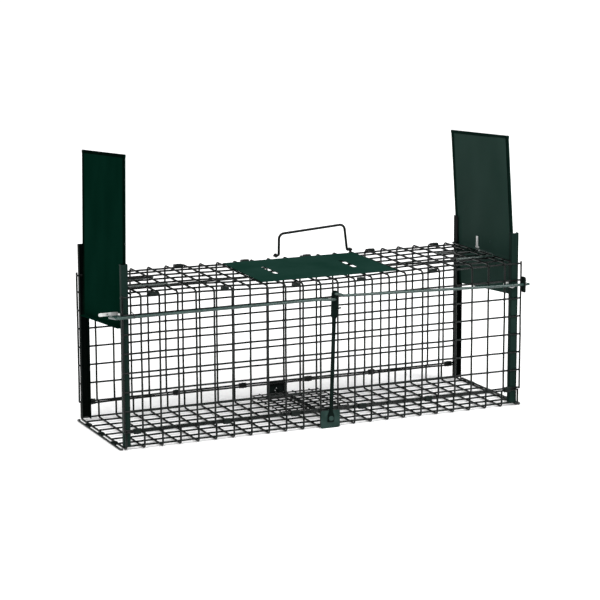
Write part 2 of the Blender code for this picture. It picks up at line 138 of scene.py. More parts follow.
def bump(tree, shader, value, strength, distance):
    node = tree.nodes.new("ShaderNodeBump")
    node.inputs["Strength"].default_value = strength
    node.inputs["Distance"].default_value = distance
    tree.links.new(value, node.inputs["Height"])
    tree.links.new(node.outputs["Normal"], shader.inputs["Normal"])


def paint(name, dark, light, roughness, scale=60, coat=0.0, gloss=0.15, bump_size=0.00012, stretch=(1, 1, 1)):
    """Dipped paint: its colour, gloss and surface vary softly, with a finer orange peel."""
    made, tree, shader = shader_of(name)
    patches = link_noise(tree, scale, 4, stretch)
    colour = ramp(tree, patches, [(0.34, dark), (0.68, light)])
    tree.links.new(colour, shader.inputs["Base Color"])
    rough = level(tree, link_noise(tree, scale * 4, 2, stretch), roughness - 0.09, roughness + 0.11)
    tree.links.new(rough, shader.inputs["Roughness"])
    shader.inputs["Metallic"].default_value = 0.0
    shader.inputs["Specular IOR Level"].default_value = gloss
    shader.inputs["Coat Weight"].default_value = coat
    shader.inputs["Coat Roughness"].default_value = 0.22
    bump(tree, shader, link_noise(tree, 420, 3), 0.35, bump_size)
    return made


def bare_metal(name, dark, light, roughness):
    made, tree, shader = shader_of(name)
    colour = ramp(tree, link_noise(tree, 260, 3), [(0.3, dark), (0.7, light)])
    tree.links.new(colour, shader.inputs["Base Color"])
    rough = level(tree, link_noise(tree, 900, 2), roughness - 0.1, roughness + 0.1)
    tree.links.new(rough, shader.inputs["Roughness"])
    shader.inputs["Metallic"].default_value = 0.75
    bump(tree, shader, link_noise(tree, 1200, 2), 0.2, 0.00006)
    return made


WIRE_PAINT = paint("wire_paint", (0.0006, 0.0016, 0.0013), (0.0020, 0.0044, 0.0036), 0.28, 45, 0.0, 0.17)
ROD_PAINT = paint("rod_paint", (0.0010, 0.0026, 0.0020), (0.0030, 0.0066, 0.0054), 0.27, 60, 0.1, 0.45)
DOOR_OUT = paint(
    "door_paint", (0.0006, 0.0100, 0.0058), (0.0014, 0.0140, 0.0086), 0.60, 22, 0, 0.0, stretch=(1, 1, 0.5)
)
# The right door's much lighter green is painted light on the same paint as the left door.
DOOR_IN_LIT_PAINT = paint(
    "door_inner_painted_light", (0.0100, 0.0275, 0.0215), (0.0150, 0.0350, 0.0280), 0.58, 18, 0, 0.02,
    stretch=(1, 1, 0.5),
)
# The hems' darker green is painted shade on the folded edges, not a different paint.
HEM_SHADE_PAINT = paint("hem_painted_shade", (0.0003, 0.0024, 0.0015), (0.0009, 0.0046, 0.0030), 0.55, 40, 0, 0.0)
PLATE_PAINT = paint("plate_paint", (0.0060, 0.0240, 0.0175), (0.0100, 0.0310, 0.0240), 0.62, 22, 0, 0.0)
CHANNEL_PAINT = paint(
    "channel_paint", (0.0024, 0.0080, 0.0062), (0.0080, 0.0200, 0.0160), 0.48, 35, 0, 0.03,
    stretch=(1, 1, 0.15),
)
# The back guides get a darker copy of the channel paint: painted shade inside the cage.
BACK_CHANNEL_SHADE_PAINT = paint(
    "back_channel_painted_shade", (0.0004, 0.0016, 0.0012), (0.0016, 0.0038, 0.0030), 0.50, 35, 0, 0.02,
    stretch=(1, 1, 0.15),
)
# The right door's hems are darker for the same reason: painted shade on the folds.
HEM_IN_SHADE_PAINT = paint("hem_inner_painted_shade", (0.0022, 0.0078, 0.0058), (0.0040, 0.0120, 0.0092), 0.55, 40, 0, 0.0)
# The strip's light green is partly its own green paint and partly painted light falling on its top.
STRIP_PAINT_AND_LIGHT = paint("strip_paint_and_painted_light", (0.080, 0.130, 0.110), (0.140, 0.200, 0.180), 0.50, 30, 0, 0.1)
BRACKET_PAINT = paint("bracket_paint", (0.008, 0.020, 0.017), (0.020, 0.040, 0.035), 0.50, 70, 0, 0.06)
CLIP_PAINT = paint("clip_paint", (0.0012, 0.0030, 0.0025), (0.0045, 0.0090, 0.0075), 0.45, 120, 0, 0.12)
HANDLE_PAINT = paint("handle_paint", (0.0008, 0.0020, 0.0017), (0.0022, 0.0046, 0.0038), 0.33, 60, 0, 0.15)
LEVER_PAINT = paint("lever_paint", (0.0010, 0.0034, 0.0028), (0.0034, 0.0085, 0.0070), 0.45, 60, 0, 0.03)
# The trigger rods' lighter teal is their green paint with a painted highlight averaged in.
RAIL_PAINT_AND_HIGHLIGHT = paint("trigger_rod_paint_and_highlight", (0.010, 0.027, 0.023), (0.020, 0.046, 0.040), 0.27, 60, 0.1, 0.45)
# The latch wire's light green is a painted highlight on the same green paint as the wires.
LATCH_HIGHLIGHT_PAINT = paint("latch_painted_highlight", (0.010, 0.020, 0.017), (0.035, 0.055, 0.048), 0.25, 90, 0.2, 0.8)
ZINC = bare_metal("zinc_plate", (0.55, 0.56, 0.55), (0.82, 0.83, 0.82), 0.38)


# ---------------------------------------------------------------- mesh tools


def finish_piece(name, shape, finish, body):
    """A bmesh becomes a named, shaded piece that rides on its body."""
    bmesh.ops.recalc_face_normals(shape, faces=shape.faces)
    mesh = bpy.data.meshes.new(name)
    shape.to_mesh(mesh)
    shape.free()
    obj = bpy.data.objects.new(name, mesh)
    bpy.context.scene.collection.objects.link(obj)
    mesh.shade_smooth()
    mesh.set_sharp_from_angle(angle=math.radians(38))
    for each in finish if isinstance(finish, (list, tuple)) else [finish]:
        mesh.materials.append(each)
    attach(obj, body)
    return obj


def skin(shape, rings):
    """Faces between each ring of points and the next."""
    for first, second in zip(rings, rings[1:]):
        for step in range(len(first)):
            following = (step + 1) % len(first)
            shape.faces.new((first[step], first[following], second[following], second[step]))


def sweep(shape, path, radius, sides=10):
    """Adds a round wire along this path to the bmesh, with slightly domed ends."""
    points = [Vector(point) for point in path]
    tangents = []
    for index, point in enumerate(points):
        before = points[max(index - 1, 0)]
        after = points[min(index + 1, len(points) - 1)]
        tangents.append((after - before).normalized())
    up = Vector((0, 0, 1)) if abs(tangents[0].z) < 0.9 else Vector((0, 1, 0))
    normal = (up - tangents[0] * up.dot(tangents[0])).normalized()
    dome = radius * 0.35
    sizes = [0.72, *[1.0] * len(points), 0.72]
    points = [points[0], *points, points[-1]]
    tangents = [tangents[0], *tangents, tangents[-1]]
    points[0] = points[0] - tangents[0] * dome
    points[-1] = points[-1] + tangents[-1] * dome
    rings = []
    for point, tangent, size in zip(points, tangents, sizes):
        normal = (normal - tangent * normal.dot(tangent)).normalized()
        side = tangent.cross(normal)
        ring = []
        for step in range(sides):
            turn = 2 * math.pi * step / sides
            away = normal * math.cos(turn) + side * math.sin(turn)
            ring.append(shape.verts.new(point + away * radius * size))
        rings.append(ring)
    skin(shape, rings)
    shape.faces.new(rings[0][::-1])
    shape.faces.new(rings[-1])


def rounded(corners, radius, steps=6):
    """A path through these corners, each of them turned into an arc."""
    made = [Vector(corners[0])]
    radii = radius if isinstance(radius, (list, tuple)) else [radius] * (len(corners) - 2)
    for before, corner, after, bend in zip(corners, corners[1:], corners[2:], radii):
        corner = Vector(corner)
        to_start = (Vector(before) - corner).normalized()
        to_end = (Vector(after) - corner).normalized()
        half = to_start.angle(to_end) / 2
        if half > math.radians(88.5):
            made.append(corner)
            continue
        back = bend / math.tan(half)
        centre = corner + (to_start + to_end).normalized() * (bend / math.sin(half))
        start = corner + to_start * back - centre
        end = corner + to_end * back - centre
        for step in range(steps + 1):
            made.append(centre + bend * start.slerp(end, step / steps))
    made.append(Vector(corners[-1]))
    return made


def nugget(shape, at, size):
    """A small weld where two wires cross."""
    made = bmesh.ops.create_icosphere(shape, subdivisions=1, radius=1)
    bmesh.ops.transform(
        shape, verts=made["verts"], matrix=Matrix.Translation(at) @ Matrix.Diagonal((*size, 1))
    )


def wire_piece(name, paths, radius, finish, body, sides=10):
    shape = bmesh.new()
    for path in paths:
        sweep(shape, path, radius, sides)
    return finish_piece(name, shape, finish, body)


def plate_outline(shape, outline, holes, low, high, to_world):
    """A flat plate with holes, as a closed solid between two levels, placed by to_world(x, y, level)."""
    loops = [outline, *holes]
    top, bottom = [], []
    for loop in loops:
        top.append([shape.verts.new(to_world(x, y, high)) for x, y in loop])
        bottom.append([shape.verts.new(to_world(x, y, low)) for x, y in loop])
    for level_loops in (top, bottom):
        edges = []
        for ring in level_loops:
            for first, second in zip(ring, ring[1:] + ring[:1]):
                edges.append(shape.edges.new((first, second)))
        bmesh.ops.triangle_fill(shape, use_beauty=True, use_dissolve=False, edges=edges)
    for above, below in zip(top, bottom):
        for index, vert in enumerate(above):
            following = (index + 1) % len(above)
            shape.faces.new((vert, above[following], below[following], below[index]))


def circle(x, y, radius, sides=20):
    return [
        (x + radius * math.cos(2 * math.pi * i / sides), y + radius * math.sin(2 * math.pi * i / sides))
        for i in range(sides)
    ]


def round_rect(x0, x1, y0, y1, radius, steps=4):
    made = []
    left, right, low, high = x0 + radius, x1 - radius, y0 + radius, y1 - radius
    for cx, cy, start in ((right, high, 0), (left, high, 90), (left, low, 180), (right, low, 270)):
        for step in range(steps + 1):
            turn = math.radians(start + 90 * step / steps)
            made.append((cx + radius * math.cos(turn), cy + radius * math.sin(turn)))
    return made


def bevel_object(obj, width, segments=2):
    edge = obj.modifiers.new("Rounded edges", "BEVEL")
    edge.width = width
    edge.segments = segments
    edge.limit_method = "ANGLE"
    edge.angle_limit = math.radians(40)


# ---------------------------------------------------------------- the welded mesh


def sag(x, y):
    """How far the hood's top and front top edge have been pressed in."""
    across = min(max((SIDE_Y + 0.02 - y) / (2 * SIDE_Y), 0), 1)
    pressed = PRESSED * math.exp(-(((x - PLATE_MIDDLE) / PRESSED_HALF) ** 6))
    return SAG * math.exp(-((x / SAG_WIDTH) ** 2)) * across + pressed


def wobble(size=0.00022):
    return RNG.uniform(-size, size)


def hoop(x, inset):
    """One of the hood's cross wires, from the front's bottom over the top to the back's bottom."""
    side = SIDE_Y + OFFSET - inset
    top = HOOD_TOP + OFFSET - inset
    front_top = top - sag(x, -SIDE_Y)
    back_top = top - sag(x, SIDE_Y)
    below, along_top = HOOD_TOP - 0.020, 0.03
    path = [Vector((x, -side, HOOD_BOTTOM - WIRE_END))]
    for row in range(1, HOOD_CELLS):
        path.append(Vector((x + wobble(), -side + wobble(), HOOD_BOTTOM + PITCH * row)))
    y = -side + along_top
    bend = rounded([(x, -side, below), (x, -side, front_top), (x, y, top - sag(x, y))], BEND, 6)
    path += bend[1:-1]
    for column in range(1, CELLS_WIDE):
        y = -SIDE_Y + PITCH * column
        path.append(Vector((x + wobble(), y, top - sag(x, y) + wobble())))
    y = side - along_top
    bend = rounded([(x, y, top - sag(x, y)), (x, side, back_top), (x, side, below)], BEND, 6)
    path += bend[1:-1]
    for row in range(HOOD_CELLS - 1, 0, -1):
        path.append(Vector((x + wobble(), side + wobble(), HOOD_BOTTOM + PITCH * row)))
    path.append(Vector((x, side, HOOD_BOTTOM - WIRE_END)))
    return path


def along(x0, x1, where, count=24):
    """A lengthwise wire: where(x) gives its y and z."""
    path = []
    for index in range(count):
        x = x0 + (x1 - x0) * index / (count - 1)
        y, z = where(x)
        shake = 0 if index in (0, count - 1) else 1
        path.append(Vector((x, y + shake * wobble(), z + shake * wobble())))
    return path


def build_hood():
    columns = [-HALF_LENGTH + PITCH * k for k in range(CELLS_LONG + 1)]
    crossing = [hoop(x, 0) for x in columns[1:-1]]
    ends = []
    for x in (columns[0], columns[-1]):
        for face in (-1, 1):
            y = face * (SIDE_Y + OFFSET)
            path = [Vector((x, y, HOOD_BOTTOM - WIRE_END))]
            path += [Vector((x + wobble(), y, HOOD_BOTTOM + PITCH * row)) for row in range(1, HOOD_CELLS)]
            path.append(Vector((x, y, HOOD_TOP + WIRE_END)))
            ends.append(path)
    lengthwise = []
    reach = HALF_LENGTH + WIRE_END
    for face in (-1, 1):
        inner = face * (SIDE_Y - OFFSET)
        for row in range(HOOD_CELLS):
            lengthwise.append(along(-reach, reach, lambda x, z=HOOD_BOTTOM + PITCH * row: (inner, z)))
        edge = face * (SIDE_Y - OFFSET - EDGE_DROP)
        under = HOOD_TOP - OFFSET - EDGE_DROP
        lengthwise.append(
            along(-reach, reach, lambda x, e=edge, f=face, u=under: (e, u - sag(x, f * SIDE_Y)), 40)
        )
    for column in range(1, CELLS_WIDE):
        y = -SIDE_Y + PITCH * column
        lengthwise.append(along(-TOP_END, TOP_END, lambda x, y=y: (y, HOOD_TOP - OFFSET - sag(x, y)), 40))
    top_ends = []
    for side in (-1, 1):
        path = [Vector((side * TOP_END, -SIDE_Y + 0.004, HOOD_TOP + OFFSET))]
        for column in range(1, CELLS_WIDE):
            bow = 0.0012 * math.sin(math.pi * column / CELLS_WIDE)
            path.append(Vector((side * (TOP_END - bow), -SIDE_Y + PITCH * column, HOOD_TOP + OFFSET)))
        path.append(Vector((side * TOP_END, SIDE_Y - 0.004, HOOD_TOP + OFFSET)))
        top_ends.append(path)
    hood = wire_piece("hood_wires", crossing + ends + lengthwise + top_ends, WIRE / 2, WIRE_PAINT, "cage")
    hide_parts("hood_top_mesh", "hood_front_mesh", "hood_back_mesh")
    welds = bmesh.new()
    for x in columns:
        for face in (-1, 1):
            for row in range(HOOD_CELLS):
                nugget(welds, (x, face * SIDE_Y, HOOD_BOTTOM + PITCH * row), UPRIGHT_WELD)
        if abs(x) > TOP_END:
            continue
        for column in range(1, CELLS_WIDE):
            y = -SIDE_Y + PITCH * column
            nugget(welds, (x, y, HOOD_TOP - sag(x, y)), FLAT_WELD)
    finish_piece("hood_welds", welds, WIRE_PAINT, "cage")


def build_tray():
    columns = [-TRAY_HALF + 2 * TRAY_HALF * k / CELLS_LONG for k in range(CELLS_LONG + 1)]
    low = FLOOR_Z - OFFSET
    side = SIDE_Y + OFFSET
    tip = LIP_TOP + WIRE_END
    crossing = []
    for x in columns:
        path = rounded([(x, -side, tip), (x, -side, low), (x, side, low), (x, side, tip)], 0.004, 5)
        half = len(path) // 2
        made = path[:half]
        for column in range(1, CELLS_WIDE):
            made.append(Vector((x + wobble(), -SIDE_Y + PITCH * column, low + abs(wobble()))))
        crossing.append(made + path[half:])
    lengthwise = []
    reach = TRAY_HALF + WIRE_END
    for face in (-1, 1):
        inner = face * (SIDE_Y - OFFSET)
        lengthwise.append(along(-reach, reach, lambda x, y=inner: (y, LIP_TOP)))
        foot = face * (SIDE_Y - 0.0035)
        lengthwise.append(along(-reach, reach, lambda x, y=foot: (y, FLOOR_Z + OFFSET + 0.0006)))
    for column in range(1, CELLS_WIDE):
        y = -SIDE_Y + PITCH * column
        lengthwise.append(along(-reach, reach, lambda x, y=y: (y, FLOOR_Z + OFFSET)))
    tray = wire_piece("tray_wires", crossing + lengthwise, WIRE / 2, WIRE_PAINT, "cage")
    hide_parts("floor_mesh", "floor_front_lip", "floor_back_lip")
    welds = bmesh.new()
    for x in columns:
        for column in range(1, CELLS_WIDE):
            nugget(welds, (x, -SIDE_Y + PITCH * column, FLOOR_Z), FLAT_WELD)
        for face in (-1, 1):
            nugget(welds, (x, face * SIDE_Y, LIP_TOP), UPRIGHT_WELD)
    finish_piece("tray_welds", welds, WIRE_PAINT, "cage")


def build_treadle():
    low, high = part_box("treadle_panel")
    cells, pitch, radius = 8, 0.0127, 0.00085
    middle = (low + high) / 2
    half = cells * pitch / 2
    z = middle.z
    paths = []
    reach, shake, layer = half + 0.0011, 0.0002, 0.0007
    for step in range(cells + 1):
        offset = -half + pitch * step
        paths.append([
            Vector((middle.x + offset + wobble(shake), middle.y + reach * end, z + layer))
            for end in (-1, -0.4, 0.3, 1)
        ])
        paths.append([
            Vector((middle.x + reach * end, middle.y + offset + wobble(shake), z - layer))
            for end in (-1, -0.3, 0.4, 1)
        ])
    panel = wire_piece("treadle_wires", paths, radius, WIRE_PAINT, "treadle", 8)
    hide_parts("treadle_panel")
    welds = bmesh.new()
    for i in range(cells + 1):
        for j in range(cells + 1):
            at = (middle.x - half + pitch * i, middle.y - half + pitch * j, z)
            nugget(welds, at, (0.001, 0.001, 0.0008))
    finish_piece("treadle_welds", welds, WIRE_PAINT, "treadle")


# ---------------------------------------------------------------- channels, sills and doors


def build_channel(side, face):
    """A folded U guide, with rounded folds, open towards the middle of the cage."""
    name = f"{'left' if side < 0 else 'right'}_{'front' if face < 0 else 'back'}_channel"
    low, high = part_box(name)
    wall, fold = 0.0009, 0.0014
    half = (high.x - low.x) / 2
    web = max(abs(low.y), abs(high.y))
    lip = min(abs(low.y), abs(high.y))
    start, end = -half, half
    if (side, face) != (-1, -1):
        start, end = (start - EXTRA_WIDTH, end) if side < 0 else (start, end + EXTRA_WIDTH)
    lips = {side: lip, -side: lip - (EXTRA_DEPTH if face > 0 else 0)}
    outer = rounded([(start, lips[-1], 0), (start, web, 0), (end, web, 0), (end, lips[1], 0)], fold, 4)
    corners = [
        (end - wall, lips[1], 0), (end - wall, web - wall, 0),
        (start + wall, web - wall, 0), (start + wall, lips[-1], 0),
    ]
    inner = rounded(corners, fold - wall, 4)
    centre = side * CHANNEL_X + (FRONT_SHIFT if face < 0 else 0)
    shape = bmesh.new()
    levels = [low.z, low.z + 0.0006, high.z - 0.0006, high.z]
    rings = []
    for height in levels:
        rings.append([shape.verts.new((centre + p.x, face * p.y, height)) for p in [*outer, *inner]])
    skin(shape, rings)
    shape.faces.new(rings[0])
    shape.faces.new(rings[-1])
    bmesh.ops.triangulate(shape, faces=[f for f in shape.faces if len(f.verts) > 4])
    # back channels take the darker copy as painted shade
    obj = finish_piece(f"{name}_folded", shape, CHANNEL_PAINT if face < 0 else BACK_CHANNEL_SHADE_PAINT, "cage")
    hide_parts(name)


def door_matrix(side):
    """From the door's own frame, with its eyelet at the origin and its sheet upright, to where it hangs."""
    name = "left" if side < 0 else "right"
    swing = JOINTS[f"{name}_door_swing"]
    low = swing["range_deg"][0]
    turn = Matrix.Rotation(-math.radians(low), 4, Vector(swing["axis"]))
    # The eyelet was made upright, and the door hangs turned by the whole of its swing.
    return Matrix.Translation(swing["pos_m"]) @ turn


def build_door(side):
    """A sheet door with hemmed sides and top, and a finger lip turned out along its bottom."""
    name = "left" if side < 0 else "right"
    half_width, height, shift, rise, eyelet_y = 0.0827, 0.222, -0.0024, 0.014, -0.066
    y0, y1 = shift - half_width - eyelet_y, shift + half_width - eyelet_y
    z0, z1 = -rise, height - rise
    lip, lip_side, hem, swell = 0.008, 0.0095, 0.0080, 0.0005
    out = side
    shape = bmesh.new()
    ys = [
        y0, y0 + hem * 0.12, y0 + hem * 0.88, y0 + hem, y0 + lip_side, y0 + 0.05, (y0 + y1) / 2,
        y1 - 0.05, y1 - lip_side, y1 - hem, y1 - hem * 0.88, y1 - hem * 0.12, y1,
    ]
    zs = [
        z0, z0 + 0.012, z0 + 0.05, z0 + 0.10, z0 + 0.15, z0 + 0.2,
        z1 - 0.0044, z1 - 0.0038, z1 - 0.0008, z1,
    ]

    def bulge(y, z):
        """The hems stand proud of the sheet, which also bows very slightly."""
        folded = 0.1 * hem <= min(y - y0, y1 - y) <= 0.9 * hem or 0.0006 <= z1 - z <= 0.004
        proud = swell if folded else 0
        bow = 0.0006 * math.sin(math.pi * (y - y0) / (y1 - y0)) * math.sin(math.pi * (z - z0) / (z1 - z0))
        return SHEET / 2 + proud, bow

    sheets = []
    for facing in (1, -1):
        grid = []
        for z in zs:
            row = []
            for y in ys:
                proud, bow = bulge(y, z)
                taller = TOP_SLOPE[side] * max(0, (z - z0) / (z1 - z0) - 0.5) * (y1 - y) / (y1 - y0)
                row.append(shape.verts.new((out * (facing * proud - bow), y, z + taller)))
            grid.append(row)
        for first, second in zip(grid, grid[1:]):
            for index in range(len(ys) - 1):
                face = shape.faces.new((first[index], first[index + 1], second[index + 1], second[index]))
                at = face.calc_center_median()
                # hem faces take the second, darker finish: painted shade on the folds
                if min(at.y - y0, y1 - at.y) < hem or z1 - at.z < 0.0044:
                    face.material_index = 1
        sheets.append(grid)
    outer, inner = sheets
    for k in range(len(ys) - 1):
        shape.faces.new((outer[-1][k], outer[-1][k + 1], inner[-1][k + 1], inner[-1][k]))
    for column in (0, -1):
        for row in range(len(zs) - 1):
            near, far = outer[row : row + 2], inner[row : row + 2]
            shape.faces.new((near[0][column], near[1][column], far[1][column], far[0][column]))
    # the lip: the sheet's bottom row carries on outwards between the two lip columns
    first, last = 4, 8
    face_x = SHEET / 2
    bend = [
        (out * (face_x + 0.0004), z0 - SHEET * 0.35), (out * (face_x + lip - 0.001), z0 - SHEET * 0.5),
        (out * (face_x + lip), z0 - 0.0001),
    ]
    under = []
    for x, z in bend:
        under.append([shape.verts.new((x, ys[k], z)) for k in range(first, last + 1)])
    above = []
    top = [(out * (face_x + lip - 0.0003), z0 + SHEET * 0.5), (out * (face_x + 0.0005), z0 + SHEET * 0.6)]
    for x, z in top:
        above.append([shape.verts.new((x, ys[k], z)) for k in range(first, last + 1)])
    strip = [inner[0][first:last + 1], *under, *above]
    for a, b in zip(strip, strip[1:]):
        for k in range(last - first):
            shape.faces.new((a[k], a[k + 1], b[k + 1], b[k]))
    lip_root = outer[0][first:last + 1]
    for k in range(last - first):
        shape.faces.new((above[-1][k], above[-1][k + 1], lip_root[k + 1], lip_root[k]))
    for k in (0, last - first):
        shape.faces.new([inner[0][first + k], *[row[k] for row in [*under, *above]], lip_root[k]])
    for k in [*range(0, first), *range(last, len(ys) - 1)]:
        shape.faces.new((outer[0][k], outer[0][k + 1], inner[0][k + 1], inner[0][k]))
    bmesh.ops.transform(shape, verts=shape.verts, matrix=door_matrix(side))
    # the right door gets the lighter, painted-light copy of the door paint
    finishes = [DOOR_OUT, HEM_SHADE_PAINT] if side < 0 else [DOOR_IN_LIT_PAINT, HEM_IN_SHADE_PAINT]
    obj = finish_piece(f"{name}_door_sheet", shape, finishes, f"{name}_door")
    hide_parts(f"{name}_door")


def build_sill(side):
    name = "left_sill" if side < 0 else "right_sill"
    low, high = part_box(name)
    outer = side * (max(abs(low.x), abs(high.x)) - 0.0015)
    inner = side * (min(abs(low.x), abs(high.x)) + 0.0015)
    z, end = (low.z + high.z) / 2, high.y - 0.0015
    corners = [(inner, -end, z), (outer, -end + 0.0008, z), (outer, end - 0.0008, z), (inner, end, z)]
    obj = wire_piece(f"{name}_bar", [rounded(corners, 0.002, 4)], 0.0015, ROD_PAINT, "cage")
    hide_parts(name)
    # short ties that hold the sill to the end of the tray
    ties = bmesh.new()
    for y in (-0.052, 0.0, 0.052):
        sleeve(ties, (side * (HALF_LENGTH + 0.0008), y, z + 0.0003), (0.0046, 0.0024), 0.006, axis="y")
    finish_piece(f"{name}_ties", ties, CLIP_PAINT, "cage")


# ---------------------------------------------------------------- clips


def sleeve(shape, at, half_size, length, axis="x"):
    """A crimped clip round two wires: a closed, rounded sleeve, pinched at its middle."""
    half_a, half_b = half_size
    sides, squareness = 16, 0.62
    stations = [-0.5, -0.47, -0.2, 0.0, 0.2, 0.47, 0.5]
    squeeze = [0.97, 1.0, 1.0, 0.86, 1.0, 1.0, 0.97]
    rings = []
    for place, pinch in zip(stations, squeeze):
        ring = []
        for step in range(sides):
            turn = 2 * math.pi * step / sides
            c, s = math.cos(turn), math.sin(turn)
            a = half_a * math.copysign(abs(c) ** squareness, c) * pinch
            b = half_b * math.copysign(abs(s) ** squareness, s) * (2 - pinch if pinch < 0.9 else 1)
            if axis == "x":
                co = (at[0] + place * length, at[1] + a, at[2] + b)
            else:
                co = (at[0] + a, at[1] + place * length, at[2] + b)
            ring.append(shape.verts.new(co))
        rings.append(ring)
    skin(shape, rings)
    shape.faces.new(rings[0])
    shape.faces.new(rings[-1])


def build_clips():
    for node in sorted(NODES):
        if "clip" not in node:
            continue
        low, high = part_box(node)
        middle, size = (low + high) / 2, high - low
        x, y, z = middle
        shape = bmesh.new()
        turn = RNG.uniform(-0.0012, 0.0012)
        z -= sag(x, y) if "top" in node else 0
        y += 0.0004 if y > 0 else -0.0004
        sleeve(shape, (x + turn, y, z), (size.y / 2, size.z / 2), size.x + RNG.uniform(0, 0.0025))
        obj = finish_piece(f"{node}_crimped", shape, CLIP_PAINT, "cage")
        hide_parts(node)


# ---------------------------------------------------------------- plates


def build_top_plate():
    low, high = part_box("top_plate")
    slots = []
    for x in (-0.0475, 0.069):
        slots.append(round_rect(x - 0.0034, x + 0.0034, -0.027, 0.025, 0.0022, 3))
    drop, slope = 0.0006, 0.0022

    def place(x, y, height):
        across = (high.y - y) / (high.y - low.y)
        return (x, y, height - drop - slope * across)

    shape = bmesh.new()
    outline = round_rect(low.x, high.x - 0.003, low.y, high.y, 0.0015, 3)
    plate_outline(shape, outline, slots, low.z, high.z, place)
    obj = finish_piece("top_plate_sheet", shape, PLATE_PAINT, "cage")
    bevel_object(obj, 0.00025)
    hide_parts("top_plate")


def build_strip():
    low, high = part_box("floor_strip")
    shape = bmesh.new()
    outline = round_rect(low.x, high.x, low.y, high.y, 0.003, 4)
    plate_outline(shape, outline, [], low.z, high.z, lambda x, y, z: (x, y, z))
    obj = finish_piece("floor_strip_bar", shape, STRIP_PAINT_AND_LIGHT, "cage")
    bevel_object(obj, 0.0003)
    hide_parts("floor_strip")


def build_brackets():
    for face, node in ((-1, "treadle_front_bracket"), (1, "treadle_back_bracket")):
        low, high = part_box(node)
        axle_low, axle_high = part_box("treadle_axle")
        x, z = (axle_low.x + axle_high.x) / 2, (axle_low.z + axle_high.z) / 2
        shape = bmesh.new()
        outline = round_rect(low.x, high.x, low.z, high.z, 0.002, 3)
        holes = [circle(x, z, 0.0024)]
        plate_outline(shape, outline, holes, low.y, high.y, lambda a, b, y: (a, y, b))
        # the raised collar round the axle's hole
        outside = low.y if face < 0 else high.y
        rim = 0.0009 * face
        rings = []
        proud = outside + rim
        for radius, y in ((0.0046, outside), (0.0042, proud), (0.0027, proud), (0.0025, outside)):
            rings.append([shape.verts.new((a, y, b)) for a, b in circle(x, z, radius, 24)])
        skin(shape, [*rings, rings[0]])
        # The front bracket's lighter paint is painted light and the back one's darker clip paint is painted
        # shade.
        obj = finish_piece(f"{node}_plate", shape, BRACKET_PAINT if face < 0 else CLIP_PAINT, "cage")
        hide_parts(node)


def build_lever():
    """The hook and stub at the lever's head, and the axle's head at its foot. The lever is the CAD one."""
    low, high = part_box("trigger_lever")
    y = (low.y + high.y) / 2
    x = AXLE_X + (LEVER_TOP - AXLE_Z) * LEVER_LEAN
    front = y - 0.0012
    bent = [(x - 0.0015, front, 0.1825), (x + 0.0005, front, 0.1880), (x + 0.0040, front, 0.1850)]
    hook = rounded(bent, 0.0012, 5)
    stub = [(x + 0.0030, front, 0.1635), (x + 0.0085, y - 0.0014, 0.1640)]
    wire_piece("trigger_lever_hook", [hook, stub], 0.0011, LEVER_PAINT, "treadle", 10)
    knob = bmesh.new()
    rings = []
    for radius, out in ((0.0034, 0.0), (0.0034, 0.0010), (0.0026, 0.0018), (0.0010, 0.0021)):
        rings.append([knob.verts.new((a, low.y - out, b)) for a, b in circle(AXLE_X, AXLE_Z, radius, 20)])
    skin(knob, rings)
    knob.faces.new(rings[0])
    knob.faces.new(rings[-1])
    finish_piece("treadle_axle_head", knob, BRACKET_PAINT, "treadle")


def build_guides():
    """The plate that the right rod runs through, and the wire eye round the left one."""
    low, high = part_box("right_rod_guide")
    rod_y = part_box("right_trigger_rod")[0].y + CAD_ROD_RADIUS
    shape = bmesh.new()
    outline = round_rect(low.y, high.y, low.z, high.z, 0.0025, 3)
    hole = circle(rod_y, (low.z + high.z) / 2, 0.0021)
    plate_outline(shape, outline, [hole], low.x, high.x, lambda a, b, x: (x, a, b))
    obj = finish_piece("right_rod_guide_plate", shape, CLIP_PAINT, "cage")
    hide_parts("right_rod_guide")
    low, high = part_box("left_rod_guide")
    x, z = (low.x + high.x) / 2, (low.z + high.z) / 2
    turns = [(x + 0.0004 * step / 8, *point) for step, point in enumerate(circle(rod_y, z, 0.0028, 14))]
    path = [(x, -SIDE_Y + 0.0004, z + 0.0045), (x, -SIDE_Y - 0.002, z + 0.0040), *turns[3:], turns[0]]
    obj = wire_piece("left_rod_guide_eye", [path], 0.0006, ROD_PAINT, "cage", 8)
    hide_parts("left_rod_guide")


# ---------------------------------------------------------------- rods, handle and latches


